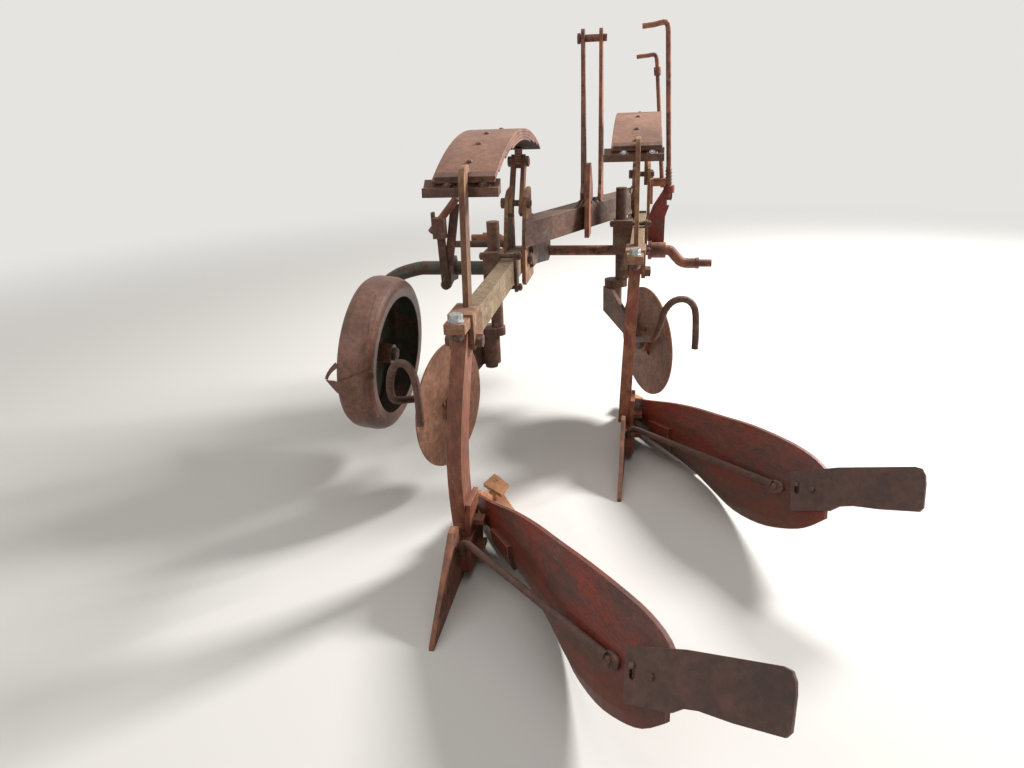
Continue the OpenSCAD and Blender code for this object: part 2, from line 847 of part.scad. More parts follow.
module at_coulter(at, swing) {
    translate(at - [stem_crank, 0, 0])
        rotate([0, 0, -swing])
            children();
}
hub_z = 286;
module coulter_arm(at, swing) {
    color(rust)
        at_coulter(at, swing)
            union() {
                difference() {
                    union() {
                        translate([0, 0, sleeve_low])
                            cylinder(h = sleeve_top - sleeve_low, d = 62);
                        translate([-36, 0, 0])
                            rotate([90, 0, 90])
                                linear_extrude(height = 14)
                                    polygon([[16, sleeve_top], [16, sleeve_low],
                                        [-coulter_trail, hub_z - 26],
                                        [-coulter_trail - 24, hub_z - 8],
                                        [-coulter_trail - 24, hub_z + 12],
                                        [-coulter_trail, hub_z + 28],
                                        [-60, sleeve_top]]);
                    }
                    translate([0, 0, sleeve_low - 10])
                        cylinder(h = 140, d = pivot_pin + 0.18);
                }
                translate([-30, -coulter_trail, hub_z])
                    rotate([0, 90, 0])
                        cylinder(h = 58, d = 24);
                translate([18, -coulter_trail, hub_z])
                    rotate([0, 90, 0])
                        hex(38, 14);
            }
}

module hook_rod(at, swing) {
    color(rust)
        at_coulter(at, swing)
            rod(concat([[-47.2, -222, hub_z + 16]], curve([[-47.2, -300, hub_z + 14],
                [-60, -385, hub_z + 46], [-68, -470, hub_z + 76],
                [-61, -496, hub_z + 124], [-46, -502, hub_z + 176],
                [-18, -509, hub_z + 206], [20, -521, hub_z + 208],
                [46, -529, hub_z + 176], [52, -530, hub_z + 104],
                [52, -530, hub_z + 42]], 3)), 22);
}

module disc(at, swing) {
    color(brown)
        at_coulter(at, swing)
            translate([0, -coulter_trail, hub_z])
                rotate([0, 90, 0])
                    difference() {
                        union() {
                            translate([0, 0, -disc_t / 2])
                                cylinder(h = disc_t, d = disc_d, $fn = 120);
                            translate([0, 0, -21])
                                cylinder(h = 38, d = 72);
                        }
                        translate([0, 0, -30])
                            cylinder(h = 60, d = 24.1);
                    }
}

// Depth wheel: pressed rim open to the right, web and hub inside
wheel_at = [-621, -620, 385];
rim_t = 3;
axle_d = 30;
arm_off = 106;
module on_wheel() {
    translate(wheel_at)
        rotate([0, 90 + wheel_camber, -wheel_toe])
            children();
}
module wheel() {
    r = wheel_d / 2;
    w = wheel_w / 2;
    color(rust)
        on_wheel()
            difference() {
                union() {
                    rotate_extrude($fn = 120)
                        polygon([[28, -w + 12], [r - 46, -w], [r - 18, -w], [r - 9, -w + 4],
                            [r - 3, -w + 13], [r, -w + 28], [r, w - 36], [r - 3, w - 21],
                            [r - 10, w - 9], [r - 20, w - 3], [r - 33, w], [r - 58, w - 1],
                            [r - 58, w - 1 - rim_t], [r - 33, w - rim_t],
                            [r - 22, w - rim_t - 3], [r - 13, w - rim_t - 9],
                            [r - rim_t - 3, w - 22], [r - rim_t, w - 36], [r - rim_t, -w + 29],
                            [r - rim_t - 3, -w + 15], [r - 12, -w + rim_t + 4],
                            [r - 19, -w + rim_t], [r - 46, -w + rim_t],
                            [28, -w + rim_t + 12]]);
                    translate([0, 0, -w + 6])
                        cylinder(h = 84, d = 62);
                }
                translate([0, 0, -w - 10])
                    cylinder(h = 200, d = axle_d + 0.12);
            }
}

arm_d = 48;
arm_wall = 4;
arm_y = -300;
arm_z = 588;
arm_bend = curve([[-576, arm_y, arm_z - 2], [-623, arm_y, arm_z - 14],
    [-662, arm_y - 2, arm_z - 30], [-708, arm_y - 12, arm_z - 62],
    [-738, arm_y - 44, arm_z - 104], [-746, arm_y - 100, arm_z - 144],
    [-740, arm_y - 180, arm_z - 172]], 3);
module wheel_arm() {
    color(green)
        union() {
            difference() {
                union() {
                    bar([-262, arm_y, arm_z], [-560, arm_y, arm_z], arm_d);
                    rod(concat([[-559, arm_y, arm_z]], arm_bend,
                        [wheel_at + [-108, 50, 16], wheel_at + [-105.4, 5.9, 9.8]]), arm_d);
                }
                bar([-250, arm_y, arm_z], [-560, arm_y, arm_z], arm_d - 2 * arm_wall);
                rod(concat([[-558, arm_y, arm_z]], arm_bend), arm_d - 2 * arm_wall);
            }
            on_wheel() {
                translate([0, 0, -arm_off])
                    sphere(d = arm_d + 8);
                translate([0, 0, -arm_off])
                    cylinder(h = arm_off + 50, d = axle_d);
                translate([0, 0, -arm_off])
                    cylinder(h = arm_off - wheel_w / 2 + 5, d = 44);
                translate([0, 0, 36])
                    cylinder(h = 12, d = 46, $fn = 6);
            }
        }
}

module wheel_bracket() {
    color(dark)
        difference() {
            union() {
                translate([rear_x - plate_gap / 2 - plate_t - 10.1, arm_y - 40, 556])
                    cube([10, 80, 104]);
                translate([-320, arm_y, arm_z])
                    rotate([0, 90, 0])
                        cylinder(h = 63, d = 70);
            }
            translate([-330, arm_y, arm_z])
                rotate([0, 90, 0])
                    cylinder(h = 68.2, d = arm_d + 0.2);
        }
}

// Lever on the wheel arm, its link to the frame and the spreading screw
joint_at = [-449, -396, 560];
link_top = [-404, -396, 812];
nut_at = [-455, -396, 752];
link_pin = 20;
module wheel_lever() {
    color(dark)
        union() {
            difference() {
                translate([joint_at[0] - 7, 0, 0])
                    rotate([90, 0, 90])
                        linear_extrude(height = 14)
                            polygon([[arm_y + 44, arm_z - 10], [arm_y + 20, arm_z + 40],
                                [arm_y - 20, arm_z + 40], [arm_y - 46, arm_z + 4],
                                [-402, 574], [-406, 560], [-402, 546], [-380, 544],
                                [arm_y - 34, arm_z - 36], [arm_y + 20, arm_z - 44]]);
                translate([joint_at[0] - 20, arm_y, arm_z])
                    rotate([0, 90, 0])
                        cylinder(h = 40, d = arm_d + 0.1);
            }
            bar(joint_at, joint_at + [0, -36, 0], link_pin);
        }
}

// Flat bar between two points of one Y plane, with an eye at its lower end
module link_bar(a, b, w, t) {
    v = b - a;
    translate(a + [0, t / 2, 0])
        rotate([90, 0, 0])
            linear_extrude(height = t)
                difference() {
                    union() {
                        rotate([0, 0, -atan2(v[0], v[2])])
                            translate([-w / 2, 0])
                                square([w, norm(v) + w / 2]);
                        circle(d = w + 8);
                    }
                    circle(d = link_pin + 0.2);
                }
}

module wheel_link() {
    color(dark)
        union() {
            link_bar(joint_at + [0, -14, 0], link_top + [0, -14, 0], 28, 10);
            bar([link_top[0] - 30, -400.5, 692],
                [rear_x - plate_gap / 2 - plate_t - 0.1, -400.5, 692], 22);
        }
}

screw_ends = [[-481, -438.2, 739], [-388, -438.2, 848]];
module screw_bar() {
    color(dark)
        union() {
            link_bar(joint_at + [0, -25, 0], nut_at + [0, -25, 0], 26, 10);
            difference() {
                union() {
                    translate([-471, -458, 720])
                        cube([40, 33, 66]);
                    translate([-478, -440, 742])
                        cube([9, 20, 60]);
                }
                bar(screw_ends[0] - [20, 0, 23.4], screw_ends[1], 24.2);
            }
        }
}

module wheel_screw() {
    color(rust)
        bar(screw_ends[0], screw_ends[1], 24);
}

module rear_bracket() { at_body(rear_at) bracket(); }
module front_bracket() { at_body(front_at) bracket(); }
module rear_bracket_bolts() { at_body(rear_at) bracket_bolts(); }
module front_bracket_bolts() { at_body(front_at) bracket_bolts(); }
module rear_beam() { at_body(rear_at) beam(); }
module front_beam() { at_body(front_at) beam(); }
module rear_head() { at_body(rear_at) head(); }
module front_head() { at_body(front_at) head(); }
module rear_head_bolt() { at_body(rear_at) head_bolt(); }
module front_head_bolt() { at_body(front_at) head_bolt(); }
module rear_leg() { at_body(rear_at) leg(); }
module front_leg() { at_body(front_at) leg(); }
module rear_frog() { at_body(rear_at) frog(); }
module front_frog() { at_body(front_at) frog(); }
module rear_share() { at_body(rear_at) share(); }
module front_share() { at_body(front_at) share(); }
module rear_shin() { at_body(rear_at) shin(); }
module front_shin() { at_body(front_at) shin(); }
module rear_moldboard() { at_body(rear_at) moldboard(); }
module front_moldboard() { at_body(front_at) moldboard(); }
module rear_landside() { at_body(rear_at) landside(); }
module front_landside() { at_body(front_at) landside(); }
module rear_tail_piece() { at_body(rear_at) tail_piece(); }
module front_tail_piece() { at_body(front_at) tail_piece(); }
module rear_stay() { at_body(rear_at) stay(); }
module front_stay() { at_body(front_at) stay(); }
module rear_spring() { at_body(rear_at) spring(); }
module front_spring() { at_body(front_at) spring(); }
module rear_spring_clip() { at_body(rear_at) spring_clip(); }
module front_spring_clip() { at_body(front_at) spring_clip(); }
module rear_pull_bar() { at_body(rear_at) pull_bar(); }
module front_pull_bar() { at_body(front_at) pull_bar(); }
module rear_strut() { at_body(rear_at) strut(); }
module front_strut() { at_body(front_at) strut(); }
module rear_stem() { stem(rear_stem_at); }
module front_stem() { stem(front_stem_at); }
module rear_stem_clamp() { stem_clamp(rear_stem_at, rear_at[0]); }
module front_stem_clamp() { stem_clamp(front_stem_at, front_at[0]); }
module rear_coulter_arm() { coulter_arm(rear_stem_at, rear_swing); }
module front_coulter_arm() { coulter_arm(front_stem_at, front_swing); }
module rear_hook_rod() { hook_rod(rear_stem_at, rear_swing); }
module front_hook_rod() { hook_rod(front_stem_at, front_swing); }
module rear_disc() { disc(rear_stem_at, rear_swing); }
module front_disc() { disc(front_stem_at, front_swing); }

// Middle of the plough on the ground, seen from below the headstock's middle
middle = [45, -713];
module placed() {
    translate([-middle[0], -middle[1], 0])
        children();
}

placed() main_tube();
placed() rear_bracket();
placed() front_bracket();
placed() rear_bracket_bolts();
placed() front_bracket_bolts();
placed() hangers();
placed() mast_bars();
placed() mast_pin();
placed() mast_gusset();
placed() cross_shaft();
placed() shaft_lever();
placed() level_screw();
placed() width_screw();
placed() rear_beam();
placed() front_beam();
placed() rear_head();
placed() front_head();
placed() rear_head_bolt();
placed() front_head_bolt();
placed() rear_leg();
placed() front_leg();
placed() rear_frog();
placed() front_frog();
placed() rear_share();
placed() front_share();
placed() rear_shin();
placed() front_shin();
placed() rear_moldboard();
placed() front_moldboard();
placed() rear_landside();
placed() front_landside();
placed() rear_tail_piece();
placed() front_tail_piece();
placed() rear_stay();
placed() front_stay();
placed() rear_spring();
placed() front_spring();
placed() rear_spring_clip();
placed() front_spring_clip();
placed() rear_pull_bar();
placed() front_pull_bar();
placed() rear_strut();
placed() front_strut();
placed() rear_stem();
placed() front_stem();
placed() rear_stem_clamp();
placed() front_stem_clamp();
placed() rear_coulter_arm();
placed() front_coulter_arm();
placed() rear_hook_rod();
placed() front_hook_rod();
placed() rear_disc();
placed() front_disc();
placed() wheel();
placed() wheel_arm();
placed() wheel_bracket();
placed() wheel_lever();
placed() wheel_link();
placed() screw_bar();
placed() wheel_screw();
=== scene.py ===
import math
import random

import bpy
from bmesh import new as newMesh
from mathutils import Matrix, Vector
from mathutils.bvhtree import BVHTree


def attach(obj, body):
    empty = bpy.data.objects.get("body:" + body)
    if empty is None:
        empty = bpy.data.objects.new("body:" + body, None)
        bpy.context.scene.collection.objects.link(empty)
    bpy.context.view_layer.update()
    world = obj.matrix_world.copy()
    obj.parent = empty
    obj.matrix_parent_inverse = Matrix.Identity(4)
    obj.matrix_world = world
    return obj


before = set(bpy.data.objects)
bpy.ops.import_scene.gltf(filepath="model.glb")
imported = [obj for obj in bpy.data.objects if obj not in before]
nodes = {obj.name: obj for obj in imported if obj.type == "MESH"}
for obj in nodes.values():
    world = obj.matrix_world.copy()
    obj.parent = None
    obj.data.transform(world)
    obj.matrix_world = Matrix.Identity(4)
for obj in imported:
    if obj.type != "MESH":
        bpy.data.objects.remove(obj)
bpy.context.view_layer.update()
print("stage: frame loaded, %d nodes" % len(nodes))

# the plough's own sizes in millimetres, as in its source
sides = ("rear", "front")
plough = {
    "middle": (45, -713),
    "rearBody": (-212, -1200), "frontBody": (178, -500),
    "rearPivot": (-286, -512, 0), "frontPivot": (86, 20, 24),
    "rearSwing": 15.5, "frontSwing": -27,
}


def mm(x, y, z):
    return Vector((x / 1000, y / 1000, z / 1000))


# a place given from below the headstock's middle
def at(x, y, z):
    return mm(x - plough["middle"][0], y - plough["middle"][1], z)


# a place given from the head of one of the two bodies
def atBody(side, x, y, z):
    bx, by = plough[side + "Body"]
    return at(bx + x, by + y, z)


# a place given from the pivot of one of the two coulters
def atCoulter(side, x, y, z):
    px, py, lift = plough[side + "Pivot"]
    turn = Matrix.Rotation(math.radians(-plough[side + "Swing"]), 4, "Z")
    return at(px, py, lift) + turn @ mm(x, y, z)


# an sRGB hex colour as the linear one that a shader takes
def linearFromHex(code):
    parts = [int(code[i:i + 2], 16) / 255 for i in (1, 3, 5)]
    return tuple(c / 12.92 if c <= 0.04045 else ((c + 0.055) / 1.055) ** 2.4 for c in parts) + (1.0,)


# colours spread evenly over a ramp
def colourStops(colours, ramp):
    low, high = ramp
    step = (high - low) / (len(colours) - 1)
    return [(low + step * i, linearFromHex(c)) for i, c in enumerate(colours)]


# greys that darken what lies low in a noise and lighten what lies high
def toneStops(ramp, low, high):
    return [(place, (v, v, v, 1.0)) for place, v in zip(ramp, (low, 1.0, high))]


# adds one node and gives back one of its outputs; a socket among the settings is linked,
# "stops" fills a colour ramp, and anything else is set
def addNode(tree, kind, settings=None, out=0):
    node = tree.nodes.new(kind)
    for key, value in (settings or {}).items():
        if isinstance(value, bpy.types.NodeSocket):
            tree.links.new(value, node.inputs[key])
        elif key == "stops":
            ramp = node.color_ramp
            while len(ramp.elements) < len(value):
                ramp.elements.new(0.5)
            for element, (place, colour) in zip(ramp.elements, value):
                element.position = place
                element.color = colour
        elif isinstance(key, int) or (key in node.inputs and not hasattr(node, key)):
            node.inputs[key].default_value = value
        else:
            setattr(node, key, value)
    return node.outputs[out] if len(node.outputs) else None


def newMaterial(name):
    mat = bpy.data.materials.new(name)
    mat.use_nodes = True
    mat.node_tree.nodes.clear()
    return mat, mat.node_tree


# noises of a finish: detail, roughness and warp; the size of each is in the finish
noiseFields = {"cloud": (4, 0.5, 0.0), "mottle": (6, 0.6, 0.3), "grain": (3, 0.65, 0.0),
               "patch": (8, 0.66, 0.4), "fade": (5, 0.6, 0.0), "scratch": (5, 0.7, 0.2)}

# what a finish has where it says nothing else; a ramp is the stretch of the noise that is used;
# the grain of real scale is under a millimetre and is drawn coarser, so that it shows
plainFinish = {
    "cloudMm": 140, "mottleMm": 16, "grainMm": 2.6, "patchMm": 55, "fadeMm": 40, "scratchMm": 1000,
    "flow": (1, 1, 1), "flowTurn": 0, "rustRamp": (0.38, 0.62), "paintRamp": (0.34, 0.66),
    "grainRamp": (0.37, 0.5, 0.64), "grainLow": 0.72, "grainHigh": 1.2, "scratchRamp": (0.36, 0.52, 0.66),
    "paintFades": (0.04, 0.06),  # below and above paintCut
    "edgeMm": 2.0, "edgeBend": (0.995, 0.86), "edgeBare": -0.2,  # cosine of the bend, paint lost there
    "dust": 0.15, "dustSlope": (0.5, 1.0), "dustHex": "#a88f7a",
    "joint": {"hex": "#1d1511", "fades": (0.16, 0.07), "dark": 0.85},  # in shares of a leaf's thickness
    "roughRamp": (0.3, 0.7), "metallic": 0.0, "bump": 0.35, "deepMm": 0.9,
    "relief": {"mottle": 0.8, "paint": 0.35},  # beside the grain's 1.0
}


# one weathered finish: scale and rust, a broken coat of paint over it, soil and rubbed edges
def weatheredFinish(spec):
    mat, tree = newMaterial(spec["name"])
    place = addNode(tree, "ShaderNodeTexCoord", out="Object")
    turned = addNode(tree, "ShaderNodeMapping",
                     {"Rotation": (0, 0, math.radians(spec["flowTurn"])), "Vector": place})
    flow = addNode(tree, "ShaderNodeMapping", {"Scale": spec["flow"], "Vector": turned})
    ways = dict.fromkeys(("cloud", "mottle", "patch", "fade"), flow)
    ways["grain"] = place
    if "scratch" in spec:  # drawn out along the flow
        ways["scratch"] = addNode(tree, "ShaderNodeMapping", {"Scale": spec["scratch"], "Vector": turned})
    noise = {}
    for key, way in ways.items():
        detail, rough, warp = noiseFields[key]
        noise[key] = addNode(tree, "ShaderNodeTexNoise", {
            "Scale": 1000 / spec[key + "Mm"], "Detail": detail, "Roughness": rough, "Distortion": warp,
            "Vector": way})

    # rust: broad clouds broken by mottling, both kept soft
    mottled = addNode(tree, "ShaderNodeMath", {"operation": "MULTIPLY", 0: noise["mottle"], 1: 0.5})
    mixed = addNode(tree, "ShaderNodeMath",
                    {"operation": "MULTIPLY_ADD", 0: noise["cloud"], 1: 0.5, 2: mottled})
    rust = addNode(tree, "ShaderNodeValToRGB",
                   {"stops": colourStops(spec["rust"], spec["rustRamp"]), "Fac": mixed})

    # rubbed edges: where the bevelled normal leaves the flat one
    bevel = addNode(tree, "ShaderNodeBevel", {"samples": 6, "Radius": spec["edgeMm"] / 1000})
    plain = addNode(tree, "ShaderNodeNewGeometry", out="Normal")
    same = addNode(tree, "ShaderNodeVectorMath", {"operation": "DOT_PRODUCT", 0: bevel, 1: plain}, "Value")
    flat, bent = spec["edgeBend"]
    edge = addNode(tree, "ShaderNodeMapRange", {"From Min": flat, "From Max": bent, "Value": same})
    shown = addNode(tree, "ShaderNodeMath", {"operation": "MULTIPLY", 0: edge, 1: spec["edgeShow"]})

    # paint: holds in patches, gone along the edges, its colour faded in clouds
    worn = addNode(tree, "ShaderNodeMath",
                   {"operation": "MULTIPLY_ADD", 0: edge, 1: spec["edgeBare"], 2: noise["patch"]})
    below, above = spec["paintFades"]
    hold = addNode(tree, "ShaderNodeMapRange", {
        "From Min": spec["paintCut"] - below, "From Max": spec["paintCut"] + above, "Value": worn})
    paint = addNode(tree, "ShaderNodeValToRGB",
                    {"stops": colourStops(spec["paint"], spec["paintRamp"]), "Fac": noise["fade"]})

    # what lies over the rust, from below: blend, how much of it, colour
    layers = [("MIX", hold, paint)]
    if "scratch" in spec:
        stops = toneStops(spec["scratchRamp"], *spec["scratchTone"])
        tone = addNode(tree, "ShaderNodeValToRGB", {"stops": stops, "Fac": noise["scratch"]})
        layers.append(("MULTIPLY", 1.0, tone))
    stops = toneStops(spec["grainRamp"], spec["grainLow"], spec["grainHigh"])
    tone = addNode(tree, "ShaderNodeValToRGB", {"stops": stops, "Fac": noise["grain"]})
    layers.append(("MULTIPLY", 1.0, tone))
    layers.append(("MIX", shown, linearFromHex(spec["edge"])))

    # soil and damp have darkened what stands lowest, with a ragged line
    if "low" in spec:
        low = spec["low"]
        z = addNode(tree, "ShaderNodeSeparateXYZ", {0: place}, "Z")
        ragged = addNode(tree, "ShaderNodeMath",
                         {"operation": "MULTIPLY_ADD", 0: noise["cloud"], 1: low["ragged"], 2: z})
        soiled = addNode(tree, "ShaderNodeMapRange", {
            "From Min": low["from"] + low["ragged"] / 2, "From Max": low["to"] + low["ragged"] / 2,
            "To Max": low["dark"], "Value": ragged})
        layers.append(("MIX", soiled, linearFromHex(low["hex"])))

    # dark joints between the leaves of a spring pack, by distance from the middle of its bow
    if "leaves" in spec:
        y, z, r, thick = spec["leaves"]
        flat = addNode(tree, "ShaderNodeVectorMath", {"operation": "MULTIPLY", 0: place, 1: (0, 1, 1)})
        far = addNode(tree, "ShaderNodeVectorMath", {"operation": "DISTANCE", 0: flat, 1: (0, y, z)}, "Value")
        near = far
        for step in ({"operation": "MULTIPLY_ADD", 1: -1 / thick, 2: r / thick + 0.5}, {"operation": "FRACT"},
                     {"operation": "SUBTRACT", 1: 0.5}, {"operation": "ABSOLUTE"}):
            near = addNode(tree, "ShaderNodeMath", {**step, 0: near})
        clear, full = spec["joint"]["fades"]
        line = addNode(tree, "ShaderNodeMapRange", {
            "From Min": clear, "From Max": full, "To Max": spec["joint"]["dark"], "Value": near})
        inside = addNode(tree, "ShaderNodeMath", {"operation": "LESS_THAN", 0: far, 1: r - thick / 2})
        drawn = addNode(tree, "ShaderNodeMath", {"operation": "MULTIPLY", 0: line, 1: inside})
        layers.append(("MIX", drawn, linearFromHex(spec["joint"]["hex"])))

    # dust lies on what faces up
    upward = addNode(tree, "ShaderNodeSeparateXYZ", {0: plain}, "Z")
    steep, level = spec["dustSlope"]
    dusty = addNode(tree, "ShaderNodeMapRange", {
        "From Min": steep, "From Max": level, "To Max": spec["dust"], "Value": upward})
    layers.append(("MIX", dusty, linearFromHex(spec["dustHex"])))

    coat = rust
    for kind, share, over in layers:
        coat = addNode(tree, "ShaderNodeMix",
                       {"data_type": "RGBA", "blend_type": kind, 0: share, 6: coat, 7: over}, 2)
    fine, coarse = spec["roughRamp"]
    rough = addNode(tree, "ShaderNodeMapRange", {
        "From Min": fine, "From Max": coarse, "To Min": spec["rough"][0], "To Max": spec["rough"][1],
        "Value": noise["grain"]})
    height = noise["grain"]
    for key, field in (("mottle", noise["mottle"]), ("paint", hold)):
        height = addNode(tree, "ShaderNodeMath",
                         {"operation": "MULTIPLY_ADD", 0: field, 1: spec["relief"][key], 2: height})
    bump = addNode(tree, "ShaderNodeBump", {
        "Strength": spec["bump"], "Distance": spec["deepMm"] / 1000, "Height": height, "Normal": bevel})
    shader = addNode(tree, "ShaderNodeBsdfPrincipled", {
        "Metallic": spec["metallic"], "Base Color": coat, "Roughness": rough, "Normal": bump})
    addNode(tree, "ShaderNodeOutputMaterial", {"Surface": shader})
    return mat


brownRust = ("#4c3026", "#633f31", "#79503e", "#8b5f4a")
darkRust = ("#38251e", "#4b3228", "#5f4032", "#734f3e")

finishes = {
    # rolled spring steel, rusted even and fine: a dull pinkish brown
    "springSteel": {"name": "rustedSpringSteel", "rust": ("#623e31", "#744b3c", "#865a48", "#956855"),
                    "paint": ("#613c30", "#704839", "#7f5443"), "paintCut": 0.6, "grainMm": 3.0,
                    "grainLow": 0.66, "grainHigh": 1.25, "edge": "#ad7c62", "edgeShow": 0.4,
                    "rough": (0.6, 0.85), "dust": 0.22},
    # red enamel over pressed steel, rubbed by soil: dull red drawn out in streaks, brown where it is gone
    "boardEnamel": {"name": "redBoardEnamel", "rust": ("#4c291f", "#5a3025", "#68392b", "#764533"),
                    "paint": ("#68271b", "#782d1f", "#883726"), "paintCut": 0.48, "cloudMm": 170,
                    "mottleMm": 20, "grainMm": 3.4, "grainLow": 0.62, "grainHigh": 1.28, "patchMm": 90,
                    "fadeMm": 150, "flowTurn": 58.5, "flow": (0.45, 1.0, 1.2), "scratch": (55, 230, 260),
                    "scratchTone": (0.58, 1.16), "edge": "#c4a092", "edgeShow": 0.9,
                    "low": {"hex": "#41301f", "from": 0.2, "to": 0.03, "ragged": 0.12, "dark": 0.8},
                    "rough": (0.42, 0.62), "dust": 0.04, "bump": 0.3},
    # the same enamel on the forged legs, thinner and browned
    "legEnamel": {"name": "brownedLegEnamel", "rust": ("#683d2b", "#7c4a35", "#905a41", "#a36b4e"),
                  "paint": ("#6a3326", "#7a3d2d", "#8a4936"), "paintCut": 0.54, "patchMm": 70, "fadeMm": 90,
                  "flow": (1, 1, 0.45), "scratch": (90, 90, 9), "scratchTone": (0.74, 1.14),
                  "edge": "#c4835f", "edgeShow": 0.5, "rough": (0.45, 0.75), "dust": 0.1},
    # old khaki enamel on the rolled beams, flaked to brown rust
    "khakiCoat": {"name": "khakiBeamCoat", "rust": ("#5f4835", "#6f553f", "#80644a", "#8f7255"),
                  "paint": ("#75644b", "#867457", "#978566"), "paintCut": 0.47, "patchMm": 16, "fadeMm": 60,
                  "mottleMm": 10, "grainMm": 2.2, "grainLow": 0.62, "edge": "#9c7454", "edgeShow": 0.5,
                  "rough": (0.55, 0.85), "dust": 0.12},
    # forged steel heads: orange-brown rust with scraps of the khaki coat
    "forgedHead": {"name": "rustedForgedHead", "rust": ("#5d3d2d", "#76503a", "#8c6147", "#9c7153"),
                   "paint": ("#7a6a4a", "#8c7b57", "#9c8b65"), "paintCut": 0.57, "patchMm": 40,
                   "edge": "#b98a63", "edgeShow": 0.5, "rough": (0.55, 0.85)},
    # flat bar of strut and pull bar, the rust washed to golden ochre
    "ochreIron": {"name": "ochreStrutIron", "rust": ("#5f412e", "#77543b", "#8e6848", "#a27b56"),
                  "paint": ("#5c3a2d", "#6c4636", "#7c5340"), "paintCut": 0.52, "flow": (1, 1, 0.4),
                  "edge": "#c39565", "edgeShow": 0.4, "rough": (0.6, 0.85)},
    # rolled steel bar and plate: brown rust, lighter and redder in patches
    "rolledBar": {"name": "rustedRolledBar", "rust": brownRust, "paint": ("#7a4835", "#8f5940", "#a36b4d"),
                  "paintCut": 0.52, "edge": "#a9714f", "edgeShow": 0.45, "rough": (0.6, 0.88)},
    # enamel of the welded frame: nearly gone, dark brown rust with olive scraps
    "frameCoat": {"name": "darkFrameCoat", "rust": darkRust, "paint": ("#554536", "#675543", "#7a6650"),
                  "paintCut": 0.56, "patchMm": 60, "edge": "#94684c", "edgeShow": 0.4, "rough": (0.5, 0.8),
                  "dust": 0.12},
    # cut steel plate of the tail pieces: even dark purple-brown, fine grained
    "tailPlate": {"name": "darkTailPlate", "rust": ("#3c2822", "#473029", "#523930", "#5e4339"),
                  "paint": ("#4c2f28", "#58382f", "#644238"), "paintCut": 0.55, "grainLow": 0.74,
                  "grainMm": 2.4, "edge": "#8a6353", "edgeShow": 0.5, "rough": (0.5, 0.75), "dust": 0.06},
    # share and shin: soil-worn steel under fresh orange rust
    "freshRust": {"name": "freshRustedShare", "rust": ("#95603b", "#a96f46", "#b97f54", "#c69064"),
                  "paint": ("#a08a74", "#ad9884", "#b8a592"), "paintCut": 0.6, "mottleMm": 22,
                  "grainLow": 0.8, "grainHigh": 1.15, "edge": "#d6a57c", "edgeShow": 0.4,
                  "rough": (0.5, 0.75), "metallic": 0.15},
    # coulter discs, pressed steel: smooth brown rust, the rims rubbed to orange
    "discSteel": {"name": "rustedDiscSteel", "rust": ("#6b4734", "#7f5641", "#91654d", "#a17459"),
                  "paint": ("#5b4034", "#6a4b3e", "#775748"), "paintCut": 0.56, "cloudMm": 110,
                  "grainMm": 2.2, "edge": "#b5764d", "edgeShow": 0.8, "edgeMm": 3.0, "rough": (0.5, 0.75),
                  "metallic": 0.1},
    # forged stems, arms and hook rods: dark brown rust, lighter along the rubbed edges
    "darkIron": {"name": "darkRustedIron", "rust": darkRust, "paint": ("#604335", "#735242", "#856150"),
                 "paintCut": 0.6, "edge": "#9c6d52", "edgeShow": 0.45, "rough": (0.55, 0.8)},
    # zinc-plated bolts: pale grey and softly shiny
    "zincBolt": {"name": "zincPlatedBolt", "rust": ("#8a8784", "#9c9a98", "#a9a9a9", "#b4b5b6"),
                 "paint": ("#a4a6a8", "#b0b2b4", "#bcbec0"), "paintCut": 0.44, "cloudMm": 30, "mottleMm": 6,
                 "grainMm": 1.5, "grainLow": 0.86, "grainHigh": 1.08, "patchMm": 12, "fadeMm": 10,
                 "edge": "#ccced0", "edgeShow": 0.3, "edgeMm": 1.0, "rough": (0.32, 0.5), "metallic": 0.7,
                 "dust": 0.05, "bump": 0.15},
    # small rusted bolts and nuts, darker than what they hold
    "rustedBolt": {"name": "rustedBoltHead", "rust": ("#39271f", "#4c352b", "#5f4336", "#735343"),
                   "paint": ("#7d5a45", "#8c6750", "#9a755c"), "paintCut": 0.6, "cloudMm": 30,
                   "mottleMm": 7, "grainMm": 1.6, "patchMm": 14, "fadeMm": 12, "edge": "#a87c60",
                   "edgeShow": 0.5, "edgeMm": 1.0, "rough": (0.5, 0.8)},
    # green enamel of the wheel arm, faded and rusting through
    "greenCoat": {"name": "greenArmCoat", "rust": darkRust, "paint": ("#363b2e", "#44493a", "#535846"),
                  "paintCut": 0.46, "edge": "#8a6148", "edgeShow": 0.4, "rough": (0.5, 0.8)},
    # pressed steel wheel: even brown rust with a soft sheen, rubbed lighter on the edges
    "wheelRust": {"name": "rustedPressedWheel", "rust": ("#52352a", "#624034", "#734d3e", "#855c4a"),
                  "paint": ("#4a3a2c", "#564433", "#624f3c"), "paintCut": 0.6, "cloudMm": 150,
                  "grainMm": 2.4, "grainLow": 0.8, "grainHigh": 1.14, "edge": "#a06c52", "edgeShow": 0.4,
                  "rough": (0.34, 0.58), "dust": 0.05, "bump": 0.2},
    # red enamel on the cross shaft's lever: deep red, chipped to dark rust
    "leverEnamel": {"name": "redLeverEnamel", "rust": darkRust, "paint": ("#5f2019", "#722820", "#843329"),
                    "paintCut": 0.45, "edge": "#94583f", "edgeShow": 0.5, "rough": (0.45, 0.75)},
}
